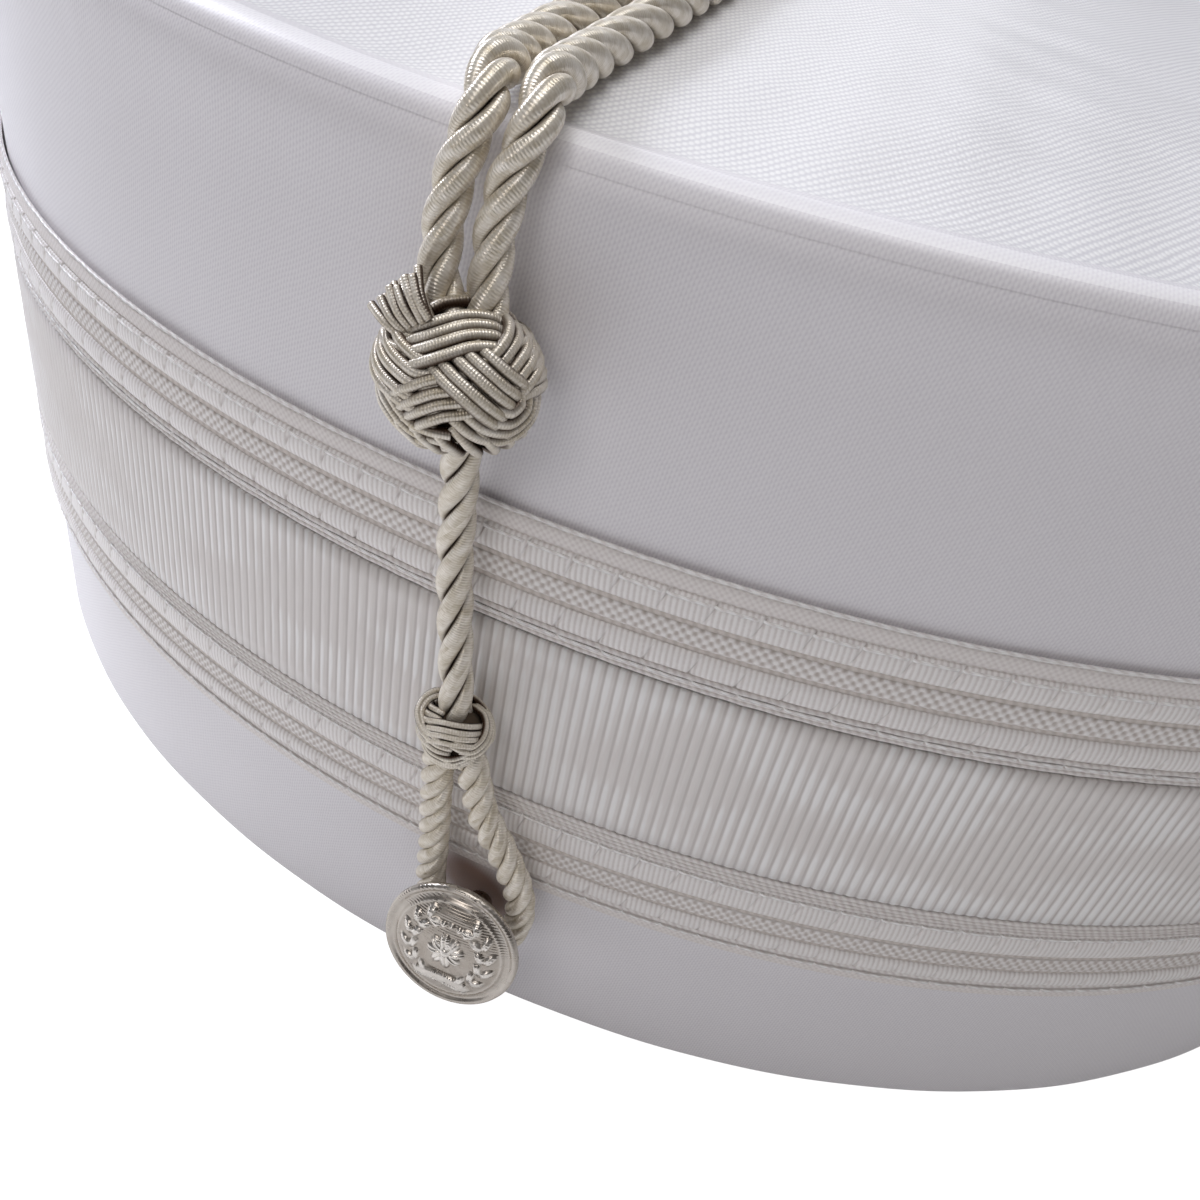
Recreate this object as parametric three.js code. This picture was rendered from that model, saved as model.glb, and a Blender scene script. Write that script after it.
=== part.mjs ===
// A fraternal pillbox cap: an oval satin crown with a trimmed band, and a metallic cord set that lies over
// the crown and ends at a button on each side. Millimetres, +Z up. The origin is at the middle of the rim's
// underside, X runs along the cap's long axis and -Y is the front side of the cord set.
import * as THREE from "three";

// Crown: an oval that is a little wider at the top than at the rim.
const HALF_LENGTH = 102.3;
const HALF_WIDTH = 79.8;
const HEIGHT = 97;
const TOP_GROWTH = 0.0211;
const WALL = 2.2;
const PANEL = 2.3;
const PIPING = 1.0;
const PANEL_DIP = 0.7;
const PANEL_CROWN = 0.4;
const GAP = 0.3;

// Band round the lower part: heights of its edges above the rim, and how thick each layer is.
const LOWER_BRAID = { bottom: 21.5, top: 34.6, thick: 1.5 };
const RIBBON = { bottom: 34.9, top: 55.0, thick: 1.0 };
const UPPER_BRAID = { bottom: 55.3, top: 67.3, thick: 1.5 };

// Cord set: the pair over the crown is softer and stands fuller than the cord below the slide knots.
const PAIR_CORD = 3.4;
const DROP_CORD = 3.0;
const CORD_SIDES = 8;
const SLIDE_KNOT = { x: -8.2, z: 80.7, width: 12.9, depth: 11.8, height: 11.8 };
const SMALL_KNOT = { x: -5.4, z: 44.7, width: 7.3, depth: 7.0, height: 7.2 };

// Buttons.
const BUTTON = { x: -1.7, z: 18.2, stand: 8.8, radius: 7.3, tilt: 12, back: 1.5, shank: 1.4, reach: 8.1 };

// Fineness.
const OVAL_STEPS = 96;
const KNOT_STEPS = 20;
const BUTTON_STEPS = 40;
const LATHE_RADIUS = 100;
const EDGE_ZONE = 20;

const colours = {
  satin: { color: 0xe9e8ee, roughness: 0.42, metalness: 0 },
  ribbon: { color: 0xe6e0df, roughness: 0.38, metalness: 0 },
  braid: { color: 0xe4dedc, roughness: 0.6, metalness: 0 },
  cord: { color: 0xbfb5a2, roughness: 0.45, metalness: 0.35 },
  metal: { color: 0xc9c6c0, roughness: 0.25, metalness: 1 },
};

// How much larger the oval is at a height than at the rim.
function growth(z) {
  return 1 + (TOP_GROWTH * z) / HEIGHT;
}

// A point of the oval at an angle and height, moved outwards along its horizontal normal.
function ovalPoint(angle, z, outset) {
  const a = HALF_LENGTH * growth(z);
  const b = HALF_WIDTH * growth(z);
  const normal = new THREE.Vector2(Math.cos(angle) / a, Math.sin(angle) / b).normalize();
  return new THREE.Vector3(
    a * Math.cos(angle) + outset * normal.x,
    b * Math.sin(angle) + outset * normal.y,
    z,
  );
}

// How far the side wall stands from the cap's long axis, at a place along it and a height.
function wallAt(x, z) {
  const a = HALF_LENGTH * growth(z);
  const b = HALF_WIDTH * growth(z);
  return b * Math.sqrt(1 - (x / a) ** 2);
}

// A lathed solid about +Z from rows of radius and height.
function lathed(rows, steps) {
  const points = rows.map(([radius, height]) => new THREE.Vector2(radius, height));
  return new THREE.LatheGeometry(points, steps).rotateX(Math.PI / 2);
}

// A solid that follows the oval, from rows of outset and height. It is lathed round a circle of
// LATHE_RADIUS, and then each point is carried to the oval. Inside the edge zone the circle's
// radius is shrunk to the middle, so that a lid closes on the axis.
function alongOval(rows) {
  const shape = lathed(rows.map(([outset, height]) => [LATHE_RADIUS + outset, height]), OVAL_STEPS);
  const place = shape.attributes.position;
  const inner = LATHE_RADIUS - EDGE_ZONE;
  for (let i = 0; i < place.count; i += 1) {
    const radius = Math.hypot(place.getX(i), place.getY(i));
    const angle = Math.atan2(place.getY(i), place.getX(i));
    const outset = Math.max(radius - LATHE_RADIUS, -EDGE_ZONE);
    const share = Math.min(radius / inner, 1);
    const point = ovalPoint(angle, place.getZ(i), outset);
    place.setXYZ(i, point.x * share, point.y * share, point.z);
  }
  return shape;
}

function crownSide() {
  const top = HEIGHT - PANEL - GAP;
  return alongOval([
    [-WALL, 0],
    [-0.6, 0],
    [0, 0.6],
    [0, top / 2],
    [0, top],
    [-WALL, top],
    [-WALL, 0],
  ]);
}

// The top panel: a flat lid whose edge is turned up into a piping, with a slightly raised middle.
function crownTop() {
  const bottom = HEIGHT - PANEL;
  const dip = HEIGHT - PANEL_DIP;
  return alongOval([
    [-LATHE_RADIUS, bottom],
    [0, bottom],
    [0, HEIGHT - PIPING],
    [-0.35 * PIPING, HEIGHT - 0.3 * PIPING],
    [-PIPING, HEIGHT],
    [-1.9 * PIPING, HEIGHT - 0.3],
    [-3 * PIPING, dip],
    [-EDGE_ZONE - 30, dip + 0.8 * PANEL_CROWN],
    [-LATHE_RADIUS, dip + PANEL_CROWN],
  ]);
}

// A flat band that lies on the side wall, with eased edges.
function band({ bottom, top, thick }) {
  const ease = 0.4 * thick;
  return alongOval([
    [GAP, bottom],
    [GAP + thick - ease, bottom],
    [GAP + thick, bottom + ease],
    [GAP + thick, top - ease],
    [GAP + thick - ease, top],
    [GAP, top],
    [GAP, bottom],
  ]);
}

// A cord's route, sampled point by point instead of by length, so that a tight bend keeps its rings.
class CordRoute extends THREE.CatmullRomCurve3 {
  getPointAt(share, target) {
    return this.getPoint(share, target);
  }

  getTangentAt(share, target) {
    return this.getTangent(share, target);
  }
}

function cordAlong(points, thickness, ringsPerPoint) {
  const section = new THREE.Shape();
  for (let i = 0; i < CORD_SIDES; i += 1) {
    const angle = (2 * Math.PI * i) / CORD_SIDES;
    const place = [(thickness / 2) * Math.cos(angle), (thickness / 2) * Math.sin(angle)];
    if (i === 0) {
      section.moveTo(...place);
    } else {
      section.lineTo(...place);
    }
  }
  return new THREE.ExtrudeGeometry(section, {
    steps: (points.length - 1) * ringsPerPoint,
    extrudePath: new CordRoute(points),
  });
}

// The pair of cords from the slide knot up the wall, over the piping and along the top panel to the
// middle of the crown. Rows of x, distance from the long axis, height, and spacing of the two cords.
const PAIR_ROUTE = [
  [-9.3, 85.5, 87.0, 3.8],
  [-9.6, 84.7, 91.0, 3.8],
  [-9.2, 83.9, 94.9, 3.8],
  [-8.5, 82.6, 98.3, 3.9],
  [-9.2, 79.8, 99.6, 4.0],
  [-10.2, 74.9, 99.1, 4.2],
  [-11.2, 67.4, 98.6, 4.5],
  [-11.6, 56.0, 98.5, 4.6],
  [-11.7, 42.0, 98.6, 4.6],
  [-12.0, 22.0, 98.7, 4.5],
  [-12.2, 0.0, 98.8, 4.4],
];

// The route of one cord of the pair over both halves of the crown, front to back.
function overCrown(side) {
  const half = (end) =>
    PAIR_ROUTE.map(([x, y, z, spacing]) => new THREE.Vector3(x + (side * spacing) / 2, end * y, z));
  return [...half(-1), ...half(1).slice(0, -1).reverse()];
}

// The single cord between the two knots. Rows of x, stand-off from the wall, and height.
const DROP_ROUTE = [
  [-7.6, 5.6, 74.2],
  [-7.9, 4.5, 68.6],
  [-7.8, 4.1, 62.6],
  [-7.0, 4.2, 55.6],
  [-5.9, 4.9, 48.9],
];

// The loop from the small knot round the button's shank and back up. The same columns.
const LOOP_ROUTE = [
  [-6.9, 4.7, 40.5],
  [-6.9, 4.3, 33.6],
  [-6.7, 4.0, 26.8],
  [-6.6, 3.7, 20.0],
  [-5.5, 3.5, 14.8],
  [-1.9, 3.4, 12.7],
  [1.7, 3.5, 14.6],
  [3.4, 3.6, 19.1],
  [3.1, 4.0, 24.4],
  [1.0, 4.3, 29.6],
  [-1.8, 4.5, 34.7],
  [-3.4, 4.8, 40.5],
];

// A route on the wall, on the front (side -1) or the back (side 1) of the crown.
function onWall(rows, side) {
  return rows.map(([x, stand, z]) => new THREE.Vector3(x, side * (wallAt(x, z) + stand), z));
}

// A woven ball knot, as the ball that its cords fill.
function knotBall({ width, depth, height }) {
  const rows = [];
  for (let i = 0; i <= KNOT_STEPS / 2; i += 1) {
    const angle = (2 * Math.PI * i) / KNOT_STEPS - Math.PI / 2;
    const radius = i === 0 || i === KNOT_STEPS / 2 ? 0 : Math.cos(angle);
    rows.push([radius, Math.sin(angle)]);
  }
  return lathed(rows, KNOT_STEPS).scale(width / 2, depth / 2, height / 2);
}

// The knot's middle, so that its back lies a gap off whatever it rests on.
function knotPlace({ x, z, depth }, under, side) {
  return new THREE.Vector3(x, side * (wallAt(x, z) + under + GAP + depth / 2), z);
}

// A domed button with a turned-over rim and a post for a shank, facing +Z from the rim's plane.
function buttonShape() {
  const { radius, back, shank, reach } = BUTTON;
  return lathed([
    [0, -reach],
    [shank, -reach],
    [shank, -back],
    [radius - 0.9, -back],
    [radius, -0.9],
    [radius, -0.35],
    [radius - 0.35, 0],
    [radius - 0.75, -0.25],
    [radius - 1.1, -0.2],
    [0.62 * radius, 0.55],
    [0.34 * radius, 0.95],
    [0, 1.1],
  ], BUTTON_STEPS);
}

function piece(name, geometry, colour) {
  const mesh = new THREE.Mesh(geometry, new THREE.MeshStandardMaterial(colours[colour]));
  mesh.name = name;
  return mesh;
}

const cap = new THREE.Group();

cap.add(
  piece("crown_side", crownSide(), "satin"),
  piece("crown_top", crownTop(), "satin"),
  piece("lower_braid", band(LOWER_BRAID), "braid"),
  piece("ribbed_ribbon", band(RIBBON), "ribbon"),
  piece("upper_braid", band(UPPER_BRAID), "braid"),
  piece("crown_cord_left", cordAlong(overCrown(-1), PAIR_CORD, 2), "cord"),
  piece("crown_cord_right", cordAlong(overCrown(1), PAIR_CORD, 2), "cord"),
);

for (const [end, side] of [["front", -1], ["back", 1]]) {
  const slideKnot = piece(`slide_knot_${end}`, knotBall(SLIDE_KNOT), "cord");
  slideKnot.position.copy(knotPlace(SLIDE_KNOT, 0, side));
  const smallKnot = piece(`small_knot_${end}`, knotBall(SMALL_KNOT), "cord");
  smallKnot.position.copy(knotPlace(SMALL_KNOT, GAP + RIBBON.thick, side));
  const button = piece(`button_${end}`, buttonShape(), "metal");
  button.position.set(BUTTON.x, side * (wallAt(BUTTON.x, BUTTON.z) + BUTTON.stand), BUTTON.z);
  button.rotation.x = -side * THREE.MathUtils.degToRad(90 - BUTTON.tilt);
  cap.add(
    slideKnot,
    piece(`drop_cord_${end}`, cordAlong(onWall(DROP_ROUTE, side), DROP_CORD, 2), "cord"),
    smallKnot,
    piece(`button_loop_${end}`, cordAlong(onWall(LOOP_ROUTE, side), DROP_CORD, 1), "cord"),
    button,
  );
}

export default cap;
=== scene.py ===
import math

import bpy
import numpy as np
from mathutils import Matrix, Vector


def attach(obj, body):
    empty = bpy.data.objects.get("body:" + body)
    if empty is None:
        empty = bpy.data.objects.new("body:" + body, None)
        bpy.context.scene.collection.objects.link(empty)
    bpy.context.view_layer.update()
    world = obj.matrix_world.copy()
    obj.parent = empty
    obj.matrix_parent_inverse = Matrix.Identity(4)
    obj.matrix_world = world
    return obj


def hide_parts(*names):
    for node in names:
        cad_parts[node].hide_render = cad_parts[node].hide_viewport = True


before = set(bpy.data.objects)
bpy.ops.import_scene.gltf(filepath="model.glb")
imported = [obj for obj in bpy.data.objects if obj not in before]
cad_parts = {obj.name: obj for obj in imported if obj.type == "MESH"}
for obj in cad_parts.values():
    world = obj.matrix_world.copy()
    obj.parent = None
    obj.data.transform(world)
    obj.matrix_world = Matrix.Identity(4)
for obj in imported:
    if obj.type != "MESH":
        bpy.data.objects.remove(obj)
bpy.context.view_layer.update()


# ---- View, table and daylight ------------
# The cap stands on a plain pale table, in soft daylight from a window on its left and a skylight, with
# a little light from a far window and a pale wall. The view is close to, from above the front's right.
MM = 0.001
bpy.context.scene.view_settings.view_transform = "Standard"


def linear(text):
    """The linear colour of an sRGB hex value."""
    values = [int(text[i : i + 2], 16) / 255 for i in (1, 3, 5)]
    return (*[v / 12.92 if v <= 0.04045 else ((v + 0.055) / 1.055) ** 2.4 for v in values], 1)


def add_node(material, kind, *values, sockets=(), out=0, **settings):
    """Adds one shader node with its settings; each value goes to an input, as a number or a link. Returns an output."""
    made = material.node_tree.nodes.new("ShaderNode" + kind)
    for name, value in settings.items():
        setattr(made, name, value)
    for place, value in [*enumerate(values), *dict(sockets).items()]:
        if isinstance(value, bpy.types.NodeSocket):
            material.node_tree.links.new(value, made.inputs[place])
        elif value is not None:
            made.inputs[place].default_value = value
    return made.outputs[out]


def new_material(name, **finish):
    """A node material whose Principled shader starts from these even values."""
    material = bpy.data.materials.new(name)
    material.use_nodes = True
    shader = material.node_tree.nodes["Principled BSDF"]
    for socket, value in finish.items():
        shader.inputs[socket.replace("_", " ")].default_value = value
    return material, shader


def feed(shader, **sources):
    """Links each source to the shader's socket of that name."""
    for socket, source in sources.items():
        shader.id_data.links.new(source, shader.inputs[socket.replace("_", " ")])


CAMERA_AT, LENS, SENSOR = Vector((22.153, -157.947, 124.146)) * MM, 36.468, 36
turn, down, roll = (math.radians(angle) for angle in (103.311, 38.556, 12.473))
ahead = Vector((math.cos(turn) * math.cos(down), math.sin(turn) * math.cos(down), -math.sin(down)))
level = Vector((math.sin(turn), -math.cos(turn), 0))
over = level.cross(ahead)
view_right = math.cos(roll) * level + math.sin(roll) * over
view_up = math.cos(roll) * over - math.sin(roll) * level
bpy.ops.object.select_all(action="DESELECT")
bpy.ops.object.camera_add()
camera = bpy.context.object
view_turn = Matrix((view_right, view_up, -ahead)).transposed().to_4x4()
camera.matrix_world = Matrix.Translation(CAMERA_AT) @ view_turn
camera.data.sensor_width, camera.data.lens = SENSOR, LENS
camera.data.clip_start, camera.data.clip_end = 0.01, 50
bpy.context.scene.camera = camera

bpy.ops.mesh.primitive_plane_add(size=8, location=(0, 0, -0.0002))
table = bpy.context.object
table.name = "table"
painted, shader = new_material("white_matt_board", Roughness=0.9)
shader.inputs["Base Color"].default_value = linear("#e8e8e8")
grain = add_node(painted, "TexNoise", sockets={"Scale": 900.0, "Detail": 3.0})
shade = add_node(painted, "Bump", sockets={"Distance": 0.00002, "Height": grain})
# Seen directly, the board glows almost white. It also gives off a little light for the cap, a painted pool of
# light with most of it beside the cap's left front, where the window reaches it.
shader.inputs["Emission Color"].default_value = (1, 1, 1, 1)
GLOW_MIDDLE, GLOW_REACH, GLOW_NEAR, GLOW_FAR, GLOW_SEEN = (-0.105, -0.080, 0.0), 0.12, 0.43, 0.09, 0.78
place = add_node(painted, "TexCoord", out=3)
near = add_node(painted, "VectorMath", place, GLOW_MIDDLE, operation="DISTANCE", out=1)
# A painted pool of light: the board glows brightest beside the cap's left front.
painted_glow = add_node(painted, "MapRange", near, 0.0, GLOW_REACH, GLOW_NEAR, GLOW_FAR, interpolation_type="SMOOTHSTEP")
painted_glow = add_node(painted, "Math", add_node(painted, "LightPath"), GLOW_SEEN, painted_glow, operation="MULTIPLY_ADD")
feed(shader, Normal=shade, Emission_Strength=painted_glow)
table.data.materials.append(painted)

# The room is brighter above, behind and to the left, where its windows are, than in the front corner.
# Seen directly it is a pale backdrop.
room = bpy.data.worlds.new("pale_room")
bpy.context.scene.world = room
room.use_nodes = True
heading = add_node(room, "TexCoord")
lit = add_node(room, "VectorMath", heading, (-0.45, 0.45, 0.77), operation="DOT_PRODUCT", out=1)
lit = add_node(room, "MapRange", lit, -0.7, 1.0, 0.0, 1.0)
glow = add_node(room, "Mix", sockets={0: lit, 6: linear("#93877f"), 7: linear("#f2f4fc")}, out=2, data_type="RGBA")
BACKDROP, ROOM_LIGHT = 3.2, 0.215
strength = add_node(room, "Math", add_node(room, "LightPath"), BACKDROP, ROOM_LIGHT, operation="MULTIPLY_ADD")
feed(room.node_tree.nodes["Background"], Color=glow, Strength=strength)

LIT_POINT = Vector((0, -0.03, 0.08))
for name, place, size, power, tint in (
    ("window", (-0.60, 0.15, 0.45), 0.22, 3.1, "#eff2ff"),
    ("skylight", (0, 0, 0.90), 0.5, 3.25, "#fdfcfd"),
    ("far_window", (-0.20, 0.75, 0.34), 0.4, 0.52, "#fbfbff"),
    ("pale_wall", (-0.10, -0.60, 0.50), 0.3, 0.70, "#fffaf8"),
):
    bpy.ops.object.light_add(type="AREA", location=place)
    light = bpy.context.object
    light.name = name
    light.rotation_mode = "QUATERNION"
    light.rotation_quaternion = (LIT_POINT - Vector(place)).to_track_quat("-Z", "Y")
    light.data.size = size
    light.data.energy = power
    light.data.color = linear(tint)[:3]


# ---- Crown side ------------
# The upright oval wall of the crown: white polyester duchess satin over stiff buckram, cut as a
# straight strip, joined at the cap's end and turned in at the rim.
HALF_LENGTH, HALF_WIDTH, HEIGHT, TOP_GROWTH = 102.3, 79.8, 97.0, 0.0211
SEAM, WALL = 95.6, 2.2

angles = np.linspace(0, 2 * math.pi, 20001)
walked = np.concatenate(
    [[0], np.cumsum(np.hypot(np.diff(HALF_LENGTH * np.cos(angles)), np.diff(HALF_WIDTH * np.sin(angles))))]
)
ROUND = walked[-1]


def on_oval(walk, outset, z, share=1.0):
    """The point at a distance walked round the rim, a height, and an outset from the wall's face, in mm."""
    angle = np.interp(np.mod(walk, ROUND), walked, angles)
    wide = 1 + TOP_GROWTH * z / HEIGHT
    x, y = HALF_LENGTH * wide * np.cos(angle), HALF_WIDTH * wide * np.sin(angle)
    across = np.stack([x / (HALF_LENGTH * wide) ** 2, y / (HALF_WIDTH * wide) ** 2])
    across /= np.linalg.norm(across, axis=0)
    return np.stack([share * (x + outset * across[0]), share * (y + outset * across[1]), z + 0 * x], 1)


def lay_cloth(name, columns, rows, place):
    """Cuts a flat grid, carries its points to place(column, row), and joins the edges that meet."""
    bpy.ops.object.select_all(action="DESELECT")
    bpy.ops.mesh.primitive_grid_add(x_subdivisions=columns, y_subdivisions=rows, size=1)
    piece = bpy.context.object
    piece.name = piece.data.name = name
    mesh = piece.data
    flat = np.empty(3 * len(mesh.vertices), np.float32)
    mesh.vertices.foreach_get("co", flat)
    flat = flat.reshape(-1, 3) + 0.5
    column = np.rint(flat[:, 0] * columns).astype(int)
    row = np.rint(flat[:, 1] * rows).astype(int)
    points, cloth = place(column, row)
    mesh.vertices.foreach_set("co", (points * MM).astype(np.float32).ravel())
    corner = np.empty(len(mesh.loops), np.int32)
    mesh.loops.foreach_get("vertex_index", corner)
    mesh.uv_layers[0].name = "cloth"
    mesh.uv_layers[0].data.foreach_set("uv", cloth[corner].astype(np.float32).ravel())
    mesh.update()
    bpy.ops.object.mode_set(mode="EDIT")
    bpy.ops.mesh.select_all(action="SELECT")
    bpy.ops.mesh.remove_doubles(threshold=0.002 * MM)
    bpy.ops.mesh.normals_make_consistent(inside=False)
    bpy.ops.object.mode_set(mode="OBJECT")
    bpy.ops.object.shade_smooth()
    return piece


def round_the_oval(name, walks, section, relief=None, slant=0.0):
    """A band of cloth round the crown: its closed section is rows of outset and height, front rows first."""
    section = np.array([*section, section[0]], float)
    length = np.concatenate([[0], np.cumsum(np.hypot(*np.diff(section, axis=0).T))])
    middle = (section[:, 1].max() + section[:, 1].min()) / 2

    def place(column, row):
        outset, z = section[row].T
        walk = walks[column]
        if relief is not None:
            outset = outset + relief(column, row % (len(section) - 1))
        leant = walk + slant * (z - middle)
        return on_oval(leant, outset, z), np.stack([leant, length[row] + section[0, 1]], 1)

    return lay_cloth(name, len(walks) - 1, len(section) - 1, place)


def finish(piece, *nodes, slot):
    """Puts the piece on the cap in place of its CAD nodes; its slot is not used."""
    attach(piece, "root")
    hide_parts(*nodes)


rng = np.random.default_rng(7)
walks = np.linspace(0, ROUND, 721)
# The face rises from its turned-in hem. Below the top the seam allowance fills it out a little, and from
# there it rounds in to the seam, where the cloth turns in under the lid and the buckram goes back down.
hem = [(-0.9, 0.0), (-0.35, 0.12), (-0.1, 0.45)]
face_levels = [1.2, 4, 10, 16, 22, 28, 40, 52, 64, 68, 72, 76, 80, 83, 85.5, 87.5]
face_levels += [89.3, 90.8, 92, 93, 93.8, 94.5, 95.1, SEAM]
filled = ((84, 0), (86, 0.03), (88, 0.14), (89.3, 0.26), (90.8, 0.40), (92, 0.49), (93, 0.51), (93.8, 0.42))
filled += ((94.5, 0.19), (95.1, -0.08), (SEAM, -0.33))
turned_in = [(-0.42, 95.72), (-0.5, 95.76), (-0.62, 95.74), (-0.75, 95.65), (-0.88, 95.5), (-1.0, 94.7), (-1.3, 94.4)]
inside = [(-WALL, z) for z in (94.4, 60, 20, 0.8)] + [(-WALL + 0.5, 0.0)]
section = hem + list(zip(np.interp(face_levels, *zip(*filled)), face_levels)) + turned_in + inside
heights = np.array([z for _, z in section])
# The satin is pulled over the buckram, so it has a slow unevenness, and short pulls under the top seam.
slow = sum(
    rng.uniform(0.3, 1) * np.sin(n * 2 * math.pi * walks / ROUND + rng.uniform(0, 6.28)) for n in (9, 14, 19, 27, 33)
)
pulls = sum(
    rng.uniform(0.3, 1) * np.sin(n * 2 * math.pi * walks / ROUND + rng.uniform(0, 6.28)) for n in (61, 83, 97, 124, 151)
)
front_rows = len(hem) + len(face_levels)
DENT_WALK, DENT_HEIGHT = 462.5, 93.9  # a small press mark beside the front cords


def satin_pull(column, row):
    z = heights[row]
    under_seam = np.exp(-(SEAM - z) / 3.5)
    dent = 0.30 * np.exp(-(((walks[column] - DENT_WALK) / 0.8) ** 2) - ((z - DENT_HEIGHT) / 1.2) ** 2)
    calm = np.clip((94.5 - z) / 2.5, 0, 1)
    return np.where(row < front_rows, calm * (0.03 * slow[column] + 0.05 * pulls[column] * under_seam - dent), 0)


def paint_shade_behind_button(material, colour):
    """Paints brown shade on the cloth behind each button, in the deep gap between the button, its loop and the
    wall. The painted shade is an oval that leans down to the right, 17 mm long and 11 mm across at its faint edge."""
    place = add_node(material, "TexCoord", out=3)
    along = add_node(material, "VectorMath", place, (128.0, 0.0, -92.0), operation="DOT_PRODUCT", out=1)
    along = add_node(material, "Math", along, 1.93, operation="ADD")
    across = add_node(material, "VectorMath", place, (148.0, 0.0, 206.0), operation="DOT_PRODUCT", out=1)
    across = add_node(material, "Math", across, -3.10, operation="ADD")
    away = add_node(material, "VectorMath", add_node(material, "CombineXYZ", along, across), operation="LENGTH", out=1)
    button_shade_amount = add_node(material, "MapRange", away, 1.35, 0.5, 0.0, 0.93, interpolation_type="SMOOTHSTEP")
    return add_node(material, "Mix", sockets={0: button_shade_amount, 6: colour, 7: linear("#7d5a47")}, out=2, data_type="RGBA")


crown_side = round_the_oval("satin_crown_side", walks, section, satin_pull)
# Duchess satin: long smooth floats that lie in staggered rows 0.31 mm apart, so it has a soft sheen and
# fine short dark dashes where the floats end. Waves of the cloth's own lattice, in turns for each mm.
# On the roll's crest a lighter copy of the side's satin is a painted highlight.
side_lattice = ((3.31, -0.46, 0.5), (1.46, -2.04, 0.3), (1.85, 1.58, 0.2))
top_lattice = ((1.16, -0.54, 0.5), (2.18, 0.67, 0.25), (1.02, 1.21, 0.25))
for name, waves, deep, low, high in (
    ("duchess_satin_side", side_lattice, 0.005, "#e1dee3", "#f2f0f3"),
    ("duchess_satin_crest", side_lattice, 0.005, "#f2f0f4", "#fefdff"),
    # The top's copy: a coarser lattice and a wider spread of tone, its lighter floats painted glints.
    ("duchess_satin_top", top_lattice, 0.027, "#d5d4d9", "#fdfdfd"),
):
    satin, shader = new_material(name, Roughness=0.37, Sheen_Weight=0.15, Sheen_Roughness=0.4)
    if waves is side_lattice:
        cloth = add_node(satin, "UVMap", uv_map="cloth")
    else:
        cloth = add_node(satin, "TexCoord", out=3)
        cloth = add_node(satin, "VectorMath", cloth, (1000.0, 1000.0, 0.0), operation="MULTIPLY")
    wander = add_node(satin, "TexNoise", cloth, sockets={"Scale": 0.35, "Detail": 2.0}, out=1)
    wander = add_node(satin, "VectorMath", wander, (0.5, 0.5, 0.5), operation="SUBTRACT")
    wander = add_node(satin, "VectorMath", wander, (0.35, 0.35, 0.0), operation="MULTIPLY")
    cloth = add_node(satin, "VectorMath", cloth, wander, operation="ADD")
    floats = 0.5
    for across, up, share in waves:
        across = round(across * ROUND) / ROUND  # a whole number of turns round the cap
        lattice = (across * 2 * math.pi, up * 2 * math.pi, 0)
        turns = add_node(satin, "VectorMath", cloth, lattice, operation="DOT_PRODUCT", out=1)
        swing = add_node(satin, "Math", turns, operation="COSINE")
        floats = add_node(satin, "Math", swing, share / 2, floats, operation="MULTIPLY_ADD")
    uneven = add_node(satin, "TexNoise", cloth, sockets={"Scale": 1.7, "Detail": 3.0})
    tone = add_node(satin, "Math", uneven, 0.35, floats, operation="MULTIPLY_ADD")
    tone = add_node(satin, "MapRange", tone, 0.25, 0.95, 0.0, 1.0)
    colour = add_node(satin, "Mix", sockets={0: tone, 6: linear(low), 7: linear(high)}, out=2, data_type="RGBA")
    if "side" in name:
        # painted brown shade behind the button
        colour = paint_shade_behind_button(satin, colour)
    bump = add_node(satin, "Bump", sockets={"Strength": 1.0, "Distance": deep * MM, "Height": floats})
    feed(shader, Base_Color=colour, Normal=bump)
crown_side.data.materials.append(bpy.data.materials["duchess_satin_side"])
finish(crown_side, "crown_side", slot="satin")


# ---- Crown top ------------
# The flat oval lid of the crown: the same satin over a thin stiff board, drawn over the edge into a
# narrow soft roll that meets the side, and very slightly crowned and uneven in the middle.
PANEL_UNDER, PANEL_FACE, EDGE_ZONE = 94.7, 96.45, 20.0
under_edge = [(-1.2, 94.7), (-1.15, 95.75), (-0.9, 96.0), (-0.53, 95.92), (-0.206, 95.4)]
skirt = [(-0.167, 95.31), (-0.153, 95.31), (-0.17, 95.345), (-0.19, 95.39)]
roll_over = [
    (-0.33, 95.7), (-0.52, 96.02), (-0.8, 96.3), (-1.12, 96.53), (-1.46, 96.71), (-1.87, 96.86), (-2.29, 96.95),
    (-2.67, 96.98), (-3.0, 96.95), (-3.35, 96.88), (-3.85, 96.74), (-4.6, 96.57), (-5.9, 96.44), (-8.5, 96.37),
    (-13.0, 96.4),
]  # fmt: skip
edge = [*under_edge, *skirt, *roll_over, (-EDGE_ZONE, PANEL_FACE)]
shares = [1 - i / 16 for i in range(1, 16)] + [0.0]
under_lid = [(0.0, -EDGE_ZONE), (0.5, -EDGE_ZONE), (1.0, -EDGE_ZONE), (1.0, -8.0)]
lid = [(share, outset, PANEL_UNDER) for share, outset in under_lid]
lid += [(1.0, outset, z) for outset, z in edge]
lid += [(share, -EDGE_ZONE, PANEL_FACE + 0.25 * (1 - share**2)) for share in shares]
lid = np.array(lid)
lid_length = np.concatenate([[0], np.cumsum(np.hypot(*np.diff(lid[:, 1:], axis=0).T))])
FIRST_FOLDED = len(under_lid)
JOIN_ROW = FIRST_FOLDED + len(under_edge) + len(skirt) - 1
LAST_FOLDED = JOIN_ROW + len(roll_over) - 2
CREST_ROW, JOIN_CLOTH = 21, 95.83  # the roll's top, and how far up the side's cloth the join is
top_waves = [(rng.uniform(0.02, 0.11), rng.uniform(0, 6.28), rng.uniform(0, 6.28)) for _ in range(9)]


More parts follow.
